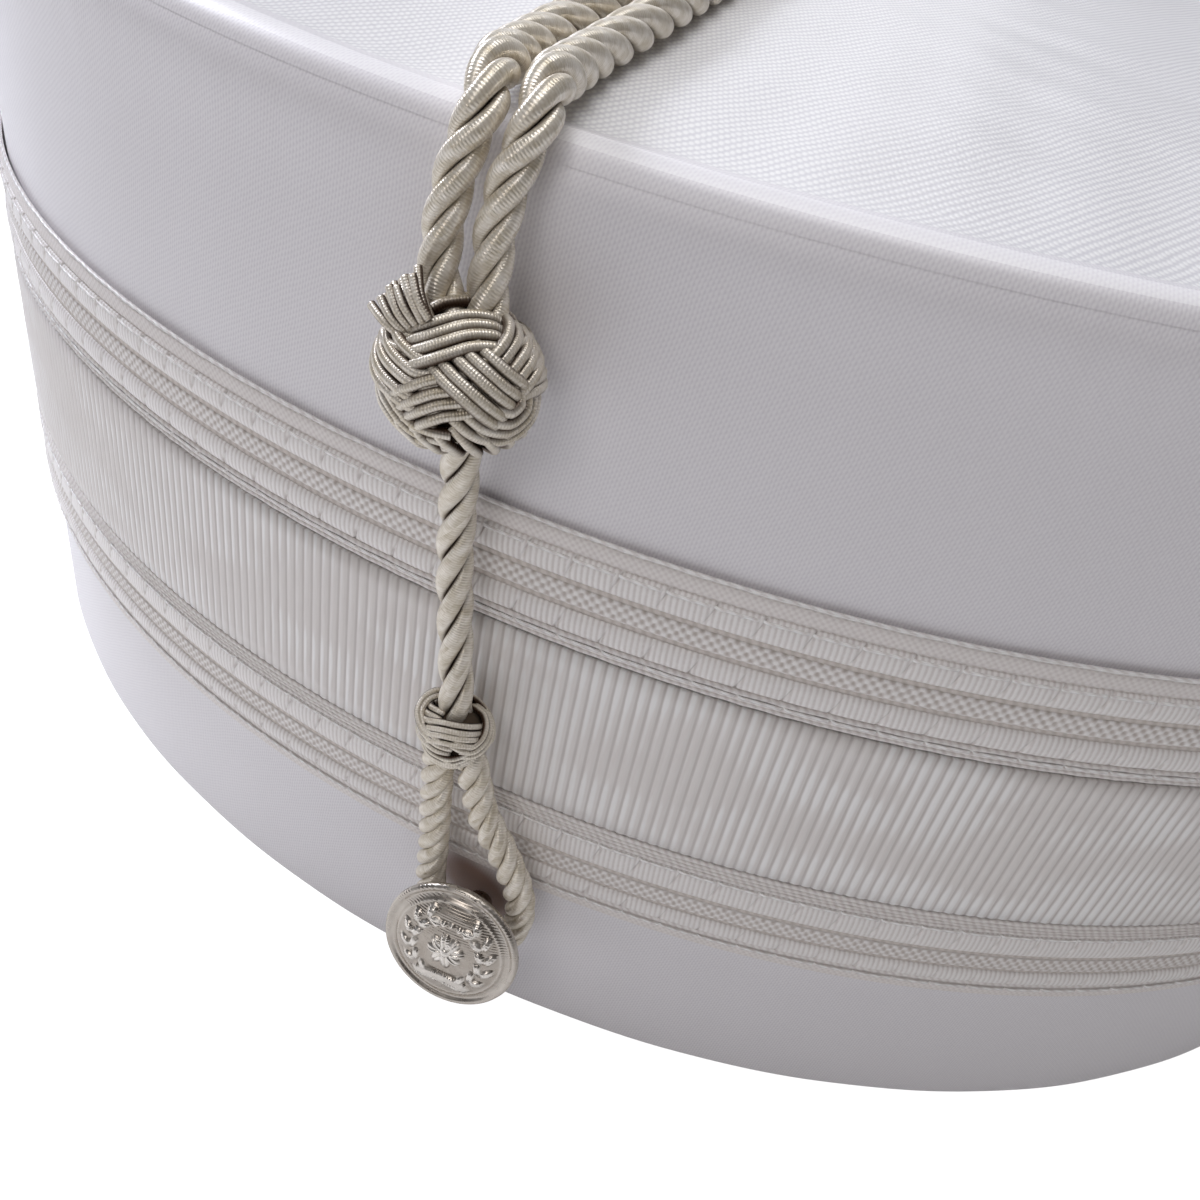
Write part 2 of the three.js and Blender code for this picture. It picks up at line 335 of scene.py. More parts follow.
def place_lid(column, row):
    share, outset, z = lid[row].T
    points = on_oval(walks[column], outset, z, share)
    calm = np.clip((-outset - 2.0) / 8, 0, 1) * (row > CREST_ROW)
    for size, heading, phase in top_waves:
        along = points[:, 0] * math.cos(heading) + points[:, 1] * math.sin(heading)
        points[:, 2] += calm * 0.05 * np.sin(2 * math.pi * size * along + phase)
    folded = (row >= FIRST_FOLDED) & (row <= LAST_FOLDED)
    up_the_side = lid_length[row] - lid_length[JOIN_ROW] + JOIN_CLOTH
    cloth = np.where(folded[:, None], np.stack([walks[column], up_the_side], 1), points[:, :2])
    return points, cloth


crown_top = lay_cloth("satin_crown_top", len(walks) - 1, len(lid) - 1, place_lid)
bpy.ops.object.shade_smooth_by_angle(angle=math.radians(50))
for where in ("top", "side", "crest"):
    crown_top.data.materials.append(bpy.data.materials[f"duchess_satin_{where}"])
# Drawn tight over the edge, the cloth looks as smooth there as on the side; on the roll's crest the lighter
# copy paints a highlight.
MEAN_RADIUS, EDGE_REACH, CREST_REACH, CREST_LOW = 90, 5.0, 2.9, 96.6
for face in crown_top.data.polygons:
    x, y, z = (v / MM for v in face.center)
    inward = MEAN_RADIUS * (1 + TOP_GROWTH - math.hypot(x / HALF_LENGTH, y / HALF_WIDTH))
    if inward < EDGE_REACH and z > PANEL_UNDER - 0.25:
        face.material_index = 2 if z > CREST_LOW and inward < CREST_REACH else 1
finish(crown_top, "crown_top", slot="satin")


# ---- Ribbed ribbon ------------
# The moire ribbon between the braids: ribbed silk-like ribbon 20 mm wide, sewn flat to the side wall.
# Its ribs stand 1.06 mm apart, and its calendered face has soft wavy glints, painted as highlights.
RIBBON_LOW, RIBBON_HIGH, RIB_SPACING = 34.9, 55.0, 1.06
ribs = round(ROUND / RIB_SPACING)
rib_shape = np.array([0.0, 0.72, 1.0, 0.72])
levels = np.linspace(RIBBON_LOW, RIBBON_HIGH, 11)
rib_wander = np.array([rng.uniform(-0.12, 0.12, len(levels)) for _ in range(ribs)])
walks_ribbed = np.linspace(0, ROUND, len(rib_shape) * ribs + 1)
section = [(0.95, z) for z in levels] + [(0.3, RIBBON_HIGH), (0.3, RIBBON_LOW)]


def rib_relief(column, row):
    front = row < len(levels)
    level = np.minimum(row, len(levels) - 1)
    ends = np.where((level == 0) | (level == len(levels) - 1), 0.5, 1.0)
    rib, across = np.divmod(column, len(rib_shape))
    return np.where(front, ends * (0.20 + 0.25 * rib_wander[rib % ribs, level]) * rib_shape[across] - 0.1, 0)


ribbed_ribbon = round_the_oval("moire_ribbed_ribbon", walks_ribbed, section, rib_relief)
# Rayon moire: ribs with the lustre of pressed yarn. In slanting waves each rib has a bright spindle-shaped
# glint painted on its left flank, glossier there, and painted shade darkens the grooves between the ribs.
# It is slightly warmer than the satin.
moire, shader = new_material("moire_rib_rayon", Roughness=0.38, Sheen_Weight=0.2)
cloth = add_node(moire, "UVMap", uv_map="cloth")
along = add_node(moire, "VectorMath", cloth, (0.060, 0.012, 0), operation="DOT_PRODUCT", out=1)
upward = add_node(moire, "VectorMath", cloth, (0.004, 0.105, 0), operation="DOT_PRODUCT", out=1)
waves = add_node(moire, "CombineXYZ", along, upward)
pressed = add_node(moire, "TexNoise", waves, sockets={"Scale": 1.0, "Detail": 1.2, "Distortion": 0.3})
pressed = add_node(moire, "MapRange", pressed, 0.37, 0.60, 0.98, -0.45, interpolation_type="SMOOTHSTEP")
turns = add_node(moire, "VectorMath", cloth, (2 * math.pi * ribs / ROUND, 0, 0), operation="DOT_PRODUCT", out=1)
# Painted highlight: a glint on each rib's left flank, where the glint waves allow it.
flank = add_node(moire, "Math", add_node(moire, "Math", turns, -2.2, operation="ADD"), operation="COSINE")
painted_glint = add_node(moire, "MapRange", flank, pressed, add_node(moire, "Math", pressed, 1.0, operation="ADD"), 0.0, 1.0)
# Painted shade darkens the groove between the ribs.
between = add_node(moire, "MapRange", add_node(moire, "Math", turns, operation="COSINE"), 0.45, 1.0, 0.0, 0.45)
streaks = add_node(moire, "VectorMath", cloth, (3.0, 0.25, 1.0), operation="MULTIPLY")
yarn_tone = add_node(moire, "TexNoise", streaks, sockets={"Scale": 1.0, "Detail": 2.0})
colour = linear("#e8e2df")
for amount, tint in ((yarn_tone, "#f4f1ee"), (between, "#b3a9a5"), (painted_glint, "#fcfbfa")):
    colour = add_node(moire, "Mix", sockets={0: amount, 6: colour, 7: linear(tint)}, out=2, data_type="RGBA")
gloss = add_node(moire, "MapRange", painted_glint, 0.0, 1.0, 0.45, 0.30)
feed(shader, Base_Color=colour, Roughness=gloss)
ribbed_ribbon.data.materials.append(moire)
finish(ribbed_ribbon, "ribbed_ribbon", slot="ribbon")


# ---- Braids ------------
# The woven trimming braid above and below the ribbon, sewn on flat; the lower one is turned over. Each
# has a lace edge, a thread-wrapped roll, a checker braid, a second roll, and strings at the ribbon, all
# stitched to a thin backing.
STITCHES, BEADS = 145, 590  # of a roll, every 4 mm, and of the checker braid, about every 1 mm
ROLL_STAND, STITCH_DEEP, BEAD_RISE, BEAD_LIFT = 0.6, 0.36, 1.05, 0.10
cut_at = np.array([0.0, 0.022, 0.05, 0.12, 0.36, 0.64, 0.86, 0.955, 0.982])
cut_deep = np.array([1.0, 0.8, 0.12, 0.0, -0.05, -0.05, 0.0, 0.0, 0.3])
unit_walks = np.concatenate([ROUND / STITCHES * (i + cut_at) for i in range(STITCHES)] + [[ROUND]])
bead_walks = np.linspace(0, ROUND, 4 * BEADS + 1)
plain_walks = np.linspace(0, ROUND, 361)

# Braid yarns, all ivory, warmer than the satin. Rolls: rayon floss wound side by side every 0.5 mm.
# Strings: two-ply twist. Lace: open little holes in two rows. Checker: matt cotton beads on a brownish ground,
# with painted shade darkening the pits between them. Each has waves of a spacing along the braid, in mm, and
# of turns for each mm up, and is darker where its waves run low.
yarns = {}
for name, rough, low, high, *waves in (
    ("wound_floss", 0.36, "#e3ddda", "#faf7f5", (0.5, 0.10)),
    ("twisted_string", 0.5, "#e3dcd9", "#f5f1ee", (0.8, 0.75)),
    ("lace_thread", 0.6, "#e0d9d6", "#f2edea", (0.62, 0.0), (math.inf, 1 / 0.7)),
    ("checker_cotton", 0.55, "#c9bfb8", "#fbf8f6", (ROUND / BEADS, 0.0), (math.inf, 1 / BEAD_RISE)),
    ("bright_floss", 0.25, "#eae5e3", "#fdfcfb", (1.3, 1.3)),
    ("ground_cotton", 0.7, "#cdc4bd", "#ded6d0", (0.9, 0.3)),
):
    yarn, shader = new_material(name, Roughness=rough, Sheen_Weight=0.2)
    cloth = add_node(yarn, "UVMap", uv_map="cloth")
    height = None
    for spacing, up in waves:
        turn_by = (round(ROUND / spacing) / ROUND * 2 * math.pi, up * 2 * math.pi, 0)
        swing = add_node(yarn, "VectorMath", cloth, turn_by, operation="DOT_PRODUCT", out=1)
        swing = add_node(yarn, "Math", swing, operation="COSINE")
        height = swing if height is None else add_node(yarn, "Math", height, swing, operation="MULTIPLY")
    fuzz = add_node(yarn, "TexNoise", cloth, sockets={"Scale": 3.1, "Detail": 4.0})
    # The tone falls where the waves run low; on the checker that is painted shade in the pits between the beads.
    tone = add_node(yarn, "Math", fuzz, 1.3, height, operation="MULTIPLY_ADD")
    tone = add_node(yarn, "MapRange", tone, -0.35, 1.25, 0.0, 1.0)
    colour = add_node(yarn, "Mix", sockets={0: tone, 6: linear(low), 7: linear(high)}, out=2, data_type="RGBA")
    # painted brown shade behind the button, on the braid
    colour = paint_shade_behind_button(yarn, colour)
    bump = add_node(yarn, "Bump", sockets={"Strength": 0.7, "Distance": 0.015 * MM, "Height": height})
    feed(shader, Base_Color=colour, Normal=bump)
    yarns[name] = yarn


def add_roll(name, low, high, upward):
    """A padded roll, wound with floss. Each stitch cuts into it from its upper or its lower edge, at a slant."""
    sweep = np.linspace(0, math.pi, 9)
    middle, half = (low + high) / 2, (high - low) / 2
    front = [(0.55 + ROLL_STAND * math.sin(a) ** 0.75, middle - half * math.cos(a)) for a in sweep]
    section = [*front, (0.35, high - 0.2), (0.35, low + 0.2)]
    cut_side = (1 - np.cos(sweep)) / 2 if upward else (1 + np.cos(sweep)) / 2
    bulge = np.array([*np.minimum(1.7 * np.sin(sweep) * cut_side, 1), 0, 0])
    roll_piece = round_the_oval(
        name, unit_walks, section, lambda c, r: -STITCH_DEEP * cut_deep[c % len(cut_at)] * bulge[r], slant=0.32
    )
    roll_piece.data.materials.append(yarns["wound_floss"])
    return roll_piece


def add_dashes(name, z, outset):
    """A bright strand along a roll, which dips out of sight at each cut."""
    sweep = np.linspace(0, 2 * math.pi, 6, endpoint=False)
    section = [(outset + 0.12 * math.cos(a), z + 0.17 * math.sin(a)) for a in sweep]
    strand = round_the_oval(
        name, unit_walks, section, lambda c, r: -0.24 * np.maximum(cut_deep[c % len(cut_at)], 0) ** 0.5
    )
    strand.data.materials.append(yarns["bright_floss"])
    return strand


def add_string(name, z, outset, thick, kind="twisted_string"):
    """A thin string that lies along the braid."""
    sweep = np.linspace(0, 2 * math.pi, 6, endpoint=False)
    section = [(outset + thick / 2 * math.cos(a), z + thick / 2 * math.sin(a)) for a in sweep]
    wobble = 0.04 * np.sin(2 * math.pi * plain_walks / ROUND * rng.integers(90, 170) + rng.uniform(0, 6))
    string = round_the_oval(name, plain_walks, section, lambda c, r: wobble[c])
    string.data.materials.append(yarns[kind])
    return string


def add_flat(name, low, high, outset, kind):
    """A flat woven strip."""
    section = [(outset - 0.25, low), *[(outset, low + (high - low) * t) for t in (0.12, 0.37, 0.63, 0.88)]]
    section += [(outset - 0.25, high), (0.3, high), (0.3, low)]
    strip = round_the_oval(name, plain_walks, section)
    strip.data.materials.append(yarns[kind])
    return strip


def add_checker(name, low, high):
    """The raised checker braid: beads in staggered rows with pits between them."""
    levels = np.linspace(low, high, 9)
    section = [(0.84, z) for z in levels] + [(0.3, high), (0.3, low)]
    beads_up = np.cos(2 * math.pi * (levels - levels[4]) / BEAD_RISE)

    def beads(column, row):
        level = np.minimum(row, 8)
        lift = BEAD_LIFT * np.cos(math.pi * column / 2) * beads_up[level]
        return np.where(row < 9, np.where((level == 0) | (level == 8), -0.1, lift), 0)

    checker = round_the_oval(name, bead_walks, section, beads)
    checker.data.materials.append(yarns["checker_cotton"])
    return checker


def add_braid(name, top, parts):
    """Joins a braid's parts, listed from its top edge down, as kind, start and end."""
    made = [add_flat(f"{name}_backing", top - parts[-1][2] - 0.12, top - 0.1, 0.62, "twisted_string")]
    for kind, start, end in parts:
        low, high = top - end, top - start
        label = f"{name}_{len(made)}"
        if kind == "roll":
            made.append(add_roll(label, low, high, start < 5))
        elif kind == "checker":
            made.append(add_checker(label, low, high))
        elif kind == "dashes":
            made.append(add_dashes(label, (low + high) / 2, 1.01 if start < 5 else 0.95))
        elif kind == "string":
            made.append(add_string(label, (low + high) / 2, 0.75, high - low))
        elif kind == "edge":
            made.append(add_string(label, (low + high) / 2, 0.55, high - low, "bright_floss"))
        elif kind == "ground":
            made.append(add_flat(label, low, high, 0.7, "ground_cotton"))
        else:
            made.append(add_flat(label, low, high, 0.8, kind))
    bpy.ops.object.select_all(action="DESELECT")
    for part in made:
        part.select_set(True)
    bpy.context.view_layer.objects.active = made[0]
    bpy.ops.object.join()
    made[0].name = made[0].data.name = name
    return made[0]


upper_braid = add_braid("trimming_braid_upper", 67.3, (
    ("edge", 0.0, 0.35), ("lace_thread", 0.3, 2.0), ("roll", 2.05, 4.75), ("dashes", 2.3, 2.65),
    ("ground", 4.65, 5.4), ("checker", 5.25, 7.3), ("ground", 7.15, 7.9), ("roll", 7.75, 10.3),
    ("string", 10.3, 10.85), ("dashes", 10.85, 11.15), ("string", 10.95, 11.45), ("string", 11.4, 11.9),
))  # fmt: skip
finish(upper_braid, "upper_braid", slot="braid")
lower_braid = add_braid("trimming_braid_lower", 34.6, (
    ("string", 0.0, 0.55), ("string", 0.5, 1.05), ("string", 1.0, 1.5), ("string", 1.45, 2.0),
    ("roll", 1.95, 5.5), ("dashes", 2.1, 2.45), ("ground", 5.4, 6.1), ("checker", 5.95, 8.0),
    ("ground", 7.85, 8.45), ("roll", 8.3, 10.4), ("twisted_string", 10.3, 11.0), ("dashes", 11.0, 11.35),
    ("lace_thread", 10.9, 12.7),
))  # fmt: skip
finish(lower_braid, "lower_braid", slot="braid")


# ---- Crown cords ------------
# Two silver cords lie side by side over the crown, from one slide knot to the other. Each is three
# soft strands laid up right-handed, and each strand is a core closely wound with silver gimp thread.
def smooth_route(points, step):
    """A smooth curve through the points, with a point at every step."""
    points = np.array(points, float)
    padded = np.vstack([2 * points[0] - points[1], points, 2 * points[-1] - points[-2]])
    fine = []
    for i in range(len(points) - 1):
        a, b, c, d = padded[i : i + 4]
        gaps = [max(np.linalg.norm(q - p) ** 0.5, 1e-4) for p, q in ((a, b), (b, c), (c, d))]
        into = ((b - a) / gaps[0] - (c - a) / (gaps[0] + gaps[1]) + (c - b) / gaps[1]) * gaps[1]
        out = ((c - b) / gaps[1] - (d - b) / (gaps[1] + gaps[2]) + (d - c) / gaps[2]) * gaps[1]
        t = np.linspace(0, 1, 40, endpoint=i == len(points) - 2)[:, None]
        from_b, from_c = (2 * t**3 - 3 * t**2 + 1) * b, (3 * t**2 - 2 * t**3) * c
        fine.append(from_b + (t**3 - 2 * t**2 + t) * into + from_c + (t**3 - t**2) * out)
    fine = np.vstack(fine)
    run = np.concatenate([[0], np.cumsum(np.linalg.norm(np.diff(fine, axis=0), axis=1))])
    at = np.linspace(0, run[-1], max(2, round(run[-1] / step)) + 1)
    return np.stack([np.interp(at, run, fine[:, k]) for k in range(3)], 1)


def carried_along(path):
    """Two directions across the path at each of its points, carried along it without twisting."""
    ahead = np.gradient(path, axis=0)
    ahead /= np.linalg.norm(ahead, axis=1)[:, None]
    first = np.empty_like(path)
    start = np.cross(ahead[0], (0.3, 0.2, 1.0) if abs(ahead[0][2]) < 0.9 else (0.0, 1.0, 0.1))
    first[0] = start / np.linalg.norm(start)
    for i in range(1, len(path)):
        side = first[i - 1] - ahead[i] * (first[i - 1] @ ahead[i])
        first[i] = side / np.linalg.norm(side)
    return first, np.cross(ahead, first)


def wound_tubes(name, tubes, sides, buried=0.1, clear=0.9):
    """One mesh of closed tubes. Each is a path, the way out of the cord at its points, and its half
    thickness that way and across. Its point attribute of painted shade rises from 0 where the thread lies
    buried between the cords, where the material darkens it, to 1 where it faces clear out."""
    points, faces, cloth, groove_shade = [], [], [], []
    count = 0
    around = np.linspace(0, 2 * math.pi, sides, endpoint=False)
    facing_out = np.clip((np.cos(around) - buried) / (clear - buried), 0, 1)
    for path, out, deep, wide in tubes:
        n = len(path)
        ahead = np.gradient(path, axis=0)
        ahead /= np.linalg.norm(ahead, axis=1)[:, None]
        out = np.broadcast_to(out, (n, 3))
        out = out - ahead * np.sum(out * ahead, axis=1)[:, None]
        out /= np.linalg.norm(out, axis=1)[:, None]
        deep, wide = np.broadcast_to(deep, n)[:, None, None], np.broadcast_to(wide, n)[:, None, None]
        ring = out[:, None] * np.cos(around)[None, :, None] * deep
        ring = ring + np.cross(ahead, out)[:, None] * np.sin(around)[None, :, None] * wide
        points += [(path[:, None] + ring).reshape(-1, 3), path[:1], path[-1:]]
        groove_shade += [np.tile(facing_out, n), [0.8, 0.8]]
        i, j = np.meshgrid(np.arange(n - 1), np.arange(sides), indexing="ij")
        i, j = i.ravel(), j.ravel()
        k = (j + 1) % sides
        quads = np.stack([i * sides + j, i * sides + k, (i + 1) * sides + k, (i + 1) * sides + j], 1) + count
        run = np.concatenate([[0], np.cumsum(np.linalg.norm(np.diff(path, axis=0), axis=1))])
        size = math.pi * float(np.mean(deep) + np.mean(wide)) / sides
        corners = [(j * size, run[i]), ((j + 1) * size, run[i]), ((j + 1) * size, run[i + 1]), (j * size, run[i + 1])]
        cloth.append(np.stack([np.stack(corner, 1) for corner in corners], 1).reshape(-1, 2))
        faces += quads.tolist()
        ends = []
        for j in range(sides):
            k = (j + 1) % sides
            faces.append([count + k, count + j, count + n * sides])
            faces.append([count + (n - 1) * sides + j, count + (n - 1) * sides + k, count + n * sides + 1])
            here, there = j * size, k * size
            ends += [[there, 0], [here, 0], [here, 0], [here, run[-1]], [there, run[-1]], [here, run[-1]]]
        cloth.append(np.array(ends, float))
        count += n * sides + 2
    mesh = bpy.data.meshes.new(name)
    mesh.from_pydata((np.vstack(points) * MM).tolist(), [], faces)
    mesh.uv_layers.new(name="cloth").data.foreach_set("uv", np.vstack(cloth).astype(np.float32).ravel())
    groove_shade = np.concatenate(groove_shade).astype(np.float32)
    mesh.attributes.new("groove_shade", "FLOAT", "POINT").data.foreach_set("value", groove_shade)
    mesh.polygons.foreach_set("use_smooth", np.ones(len(mesh.polygons), bool))
    mesh.update()
    piece = bpy.data.objects.new(name, mesh)
    bpy.context.scene.collection.objects.link(piece)
    return piece


def handmade(count, half, amount=0.03):
    """A half thickness that swells and shrinks a little along a strand."""
    swells = rng.uniform(-1, 1, count // 7 + 2)
    return half * (1 + amount * np.interp(np.arange(count) / 7, np.arange(len(swells)), swells))


STRAND_OUT, STRAND_DEEP, STRAND_WIDE = 0.285, 0.225, 0.295  # shares of the cord's thickness
STRAND_SIDES = 16


def lay_up(path, thick, lay, phase=0.0):
    """The three soft strands of a right-handed cord that follows the path, pressed flat against each other.
    Its thickness and lay may change along it."""
    first, second = carried_along(path)
    thick, lay = np.broadcast_to(thick, len(path)), np.broadcast_to(lay, len(path))
    steps = np.linalg.norm(np.diff(path, axis=0), axis=1)
    turned = np.concatenate([[0], np.cumsum(steps / (lay[1:] + lay[:-1]) * 2)])
    tubes = []
    # A strand crosses the cord at a slant, which makes its section wider, so it is made that much narrower.
    upright = np.cos(np.arctan(2 * math.pi * STRAND_OUT * thick / lay))
    for k in range(3):
        angle = (2 * math.pi * (turned + k / 3) + phase)[:, None]
        out = first * np.cos(angle) + second * np.sin(angle)
        soft = handmade(len(path), thick)
        tubes.append((path + STRAND_OUT * thick[:, None] * out, out, STRAND_DEEP * soft, STRAND_WIDE * soft * upright))
    return tubes


PAIR_ROUTE = (
    (-9.3, 85.5, 87.0, 3.8), (-9.6, 84.7, 91.0, 3.8), (-9.2, 83.9, 94.9, 3.8), (-8.5, 82.6, 98.3, 3.9),
    (-9.2, 79.8, 99.6, 4.0), (-10.2, 74.9, 99.1, 4.2), (-11.2, 67.4, 98.6, 4.5), (-11.6, 56.0, 98.5, 4.6),
    (-11.7, 42.0, 98.6, 4.6), (-12.0, 22.0, 98.7, 4.5), (-12.2, 0.0, 98.8, 4.4),
)  # fmt: skip
# Silver gimp: fine metallised thread wound round a cotton core, every 0.22 mm. It is soft and bright
# where it faces the light and greyish gold on its flanks; deep between the strands painted shade darkens it to brown.
gimp, shader = new_material(
    "silver_gimp_thread", Metallic=0.45, Roughness=0.32, Anisotropic=0.75, Anisotropic_Rotation=0.25
)
cloth = add_node(gimp, "UVMap", uv_map="cloth")
patches = add_node(gimp, "VectorMath", cloth, (0.9, 0.6, 1.0), operation="MULTIPLY")
patches = add_node(gimp, "TexNoise", patches, sockets={"Scale": 1.0, "Detail": 3.0})
threads = add_node(gimp, "VectorMath", cloth, (0.8, 5.0, 1.0), operation="MULTIPLY")
threads = add_node(gimp, "TexNoise", threads, sockets={"Scale": 1.0, "Detail": 1.0})
WINDING = 0.22
turns = add_node(gimp, "VectorMath", cloth, (0.0, 2 * math.pi / WINDING, 0.0), operation="DOT_PRODUCT", out=1)
turns = add_node(gimp, "Math", threads, 3.0, turns, operation="MULTIPLY_ADD")
wound = add_node(gimp, "Math", turns, operation="COSINE")
tone = add_node(gimp, "Math", threads, 0.35, patches, operation="MULTIPLY_ADD")
tone = add_node(gimp, "Math", wound, 0.05, tone, operation="MULTIPLY_ADD")
tone = add_node(gimp, "MapRange", tone, 0.40, 0.88, 0.0, 1.0)
colour = add_node(gimp, "Mix", sockets={0: tone, 6: linear("#cbbfa6"), 7: linear("#fff9ee")}, out=2, data_type="RGBA")
# Painted shade: the thread is darkened to brown where it lies buried between the strands and cords.
groove_shade = add_node(gimp, "Attribute", out=2, attribute_name="groove_shade")
groove_shade = add_node(gimp, "MapRange", groove_shade, 0.0, 1.0, 0.0, 1.0, interpolation_type="SMOOTHSTEP")
colour = add_node(gimp, "Mix", sockets={0: groove_shade, 6: linear("#4a3628"), 7: colour}, out=2, data_type="RGBA")
bump = add_node(gimp, "Bump", sockets={"Strength": 1.0, "Distance": 0.012 * MM, "Height": wound})
# The windings lie across the strand, so they draw the highlight out along it.
around_strand = add_node(gimp, "Tangent", direction_type="UV_MAP", uv_map="cloth")
feed(shader, Base_Color=colour, Normal=bump, Tangent=around_strand)

for name, side, phase in (("left", -0.5, -0.37), ("right", 0.5, 0.14)):
    half = [(x + side * gap, y, z) for x, y, z, gap in PAIR_ROUTE]
    start = [(-8.2 + side * 2.6, 86.6, 84.0)] + half
    route = [(x, -y, z) for x, y, z in start] + start[-2::-1]
    path = smooth_route(route, 0.28)
    # On the flat of the crown the cord lies slack: thicker and with a longer lay than down the wall.
    slack = np.clip((84.6 - np.abs(path[:, 1])) / 8, 0, 1)
    lay = 10.0 + 6.0 * np.clip((80 - np.abs(path[:, 1])) / 20, 0, 1)
    strands = lay_up(path, 3.05 + 0.7 * slack, lay, phase)
    crown_cord = wound_tubes(f"silver_crown_cord_{name}", strands, STRAND_SIDES, -0.75, 0.0)
    crown_cord.data.materials.append(gimp)
    finish(crown_cord, f"crown_cord_{name}", slot="cord")


# ---- Slide knots ------------
# The large woven ball knot that gathers the two crown cords on each side: bands of four or five gimp
# cords laid side by side, passed over and under each other, with the cut ends left as a small tuft.
def on_wall(rows, side):
    """Places rows of x, stand-off from the wall's face and height on the front or back of the crown."""
    x, stand, z = np.array(rows, float).T
    wide = 1 + TOP_GROWTH * z / HEIGHT
    face = HALF_WIDTH * wide * np.sqrt(1 - (x / (HALF_LENGTH * wide)) ** 2)
    return np.stack([x, side * (face + stand), z], 1)


def weave_ball(centre, size, side, bands, thick, turned=0.0):
    """The cords of a ball knot. A band is its number of cords, its lift at each point, and its path by longitude
    (0 straight out from the wall, positive to the right) and latitude, in degrees."""
    half = np.array(size) / 2
    tubes = []
    for count, lifts, spots in bands:
        spots = np.array(spots, float)
        lon, lat = np.radians(spots[:, 0] + turned), np.radians(spots[:, 1])
        ways = np.stack([np.cos(lat) * np.sin(lon), -np.cos(lat) * np.cos(lon), np.sin(lat)], 1)
        line = smooth_route(ways * half, 0.2)
        unit = line / half
        unit /= np.linalg.norm(unit, axis=1)[:, None]
        out = unit / half
        out /= np.linalg.norm(out, axis=1)[:, None]
        ahead = np.gradient(line, axis=0)
        across = np.cross(ahead, out)
        across /= np.linalg.norm(across, axis=1)[:, None]
        share = np.linspace(0, 1, len(line))
        lift = np.interp(share, np.linspace(0, 1, len(lifts)), lifts)
        for k in range(count):
            aside = (k - (count - 1) / 2) * thick * 0.98 + 0.05 * math.sin(3 * k + count)
            spot = unit * half + across * aside
            spot_unit = spot / half
            spot_unit /= np.linalg.norm(spot_unit, axis=1)[:, None]
            cord = spot_unit * half - out * (thick / 2 + 0.85 * thick * (1 - lift[:, None]))
            turn = np.array((-side, -side, 1.0))
            soft = handmade(len(cord), thick / 2)
            tubes.append((centre + cord * turn, out * turn, soft, soft))
    return tubes


SLIDE_BANDS = (
    (4, (0.1, 0.9, 1, 1, 0.9, 0.2), ((-38, 28), (-17, 45), (-3, 54), (29, 65), (73, 62), (92, 50))),
    (5, (0.0, 0.7, 1, 1, 0.9, 0.1), ((6, 50), (21, 40), (36, 29), (50, 17), (61, 8), (69, 0))),
    (4, (0.0, 0.8, 0.9, 0.4, 0.0), ((-33, -28), (-17, -11), (6, 9), (27, 16), (38, 20))),
    (5, (0.2, 0.9, 1, 1, 0.8, 0.1), ((-112, 30), (-80, 27), (-57, 21), (-26, 17), (-8, 15), (8, 19))),
    (4, (0.2, 0.9, 1, 1, 0.5, 0.0), ((150, 50), (128, 42), (105, 38), (82, 34), (66, 26), (54, 15))),
    (4, (0.0, 0.6, 0.9, 0.9, 0.3), ((26, 8), (46, -7), (64, -11), (80, -2), (90, 16))),
    (3, (0.3, 0.9, 0.9, 0.6), ((-62, 4), (-33, -10), (-12, -25), (20, -30))),
    (1, (0.3, 1, 1.45, 1.45, 1.1, 0.2), ((150, 60), (110, 62), (77, 55), (58, 48), (46, 43), (38, 42))),
)
# Turns of one cord close the knot below, round the top of the drop cord; they slant down to the right.
COLLAR = tuple(
    (1, (0.1, 1.0, 1.0, 0.2), ((lon - 14, -14), (lon, -26), (lon + 12, -40), (lon + 22, -58)))
    for lon in range(-20, 150, 18)
)
# The cotton core inside the knot is coloured dark brown as painted shade, seen only between the bands.
core_cotton, shader = new_material("shaded_cotton_core", Roughness=0.95)
shader.inputs["Base Color"].default_value = linear("#55483a")


def add_core(knot, middle, half):
    """Joins the cotton core into a knot that already has its thread."""
    bpy.ops.object.select_all(action="DESELECT")
    bpy.ops.mesh.primitive_uv_sphere_add(segments=32, ring_count=20, radius=1)
    core = bpy.context.object
    core.data.transform(Matrix.Translation(Vector(middle) * MM) @ Matrix.Diagonal((*(v * MM for v in half), 1)))
    core.data.uv_layers[0].name = "cloth"
    core.data.materials.append(core_cotton)
    core.select_set(True)
    knot.select_set(True)
    bpy.context.view_layer.objects.active = knot
    bpy.ops.object.join()


KNOT_AT, KNOT_SIZE = (-8.2, 6.2, 80.7), (12.9, 11.8, 11.8)
for end, side in (("front", -1), ("back", 1)):
    middle = on_wall([KNOT_AT], side)[0]
    tubes = []
    for turned in (0.0, 180.0):
        tubes += weave_ball(middle, KNOT_SIZE, side, SLIDE_BANDS, 0.9, turned)
    tubes += weave_ball(middle, KNOT_SIZE, side, COLLAR, 0.86)
    # The cut ends of the cords stand out of the upper left of the knot as a small brush.
    for i in range(11):
        share = i / 10
        root = np.array((-3.4 + 2.1 * share, 2.9 - 0.3 * (i % 2), 3.3 + 1.9 * share))
        tip = np.array((-6.2 + 2.9 * share**0.9, 1.9 - 1.3 * (i % 2), 4.3 + 3.2 * share**0.8 + 0.25 * math.sin(5 * i)))
        line = smooth_route([root, (root + tip) / 2 + (0, 0.35, 0.15 * math.cos(4 * i)), tip], 0.2)
        line *= np.array((-side, side, 1.0))
        tubes.append((middle + line, (0.3 * side, side, 0.4), 0.31, 0.34))
    slide_knot = wound_tubes(f"silver_slide_knot_{end}", tubes, 10, 0.1, 1.15)
    slide_knot.data.materials.append(gimp)
    add_core(slide_knot, middle, (5.1, 4.6, 4.6))
    finish(slide_knot, f"slide_knot_{end}", slot="cord")


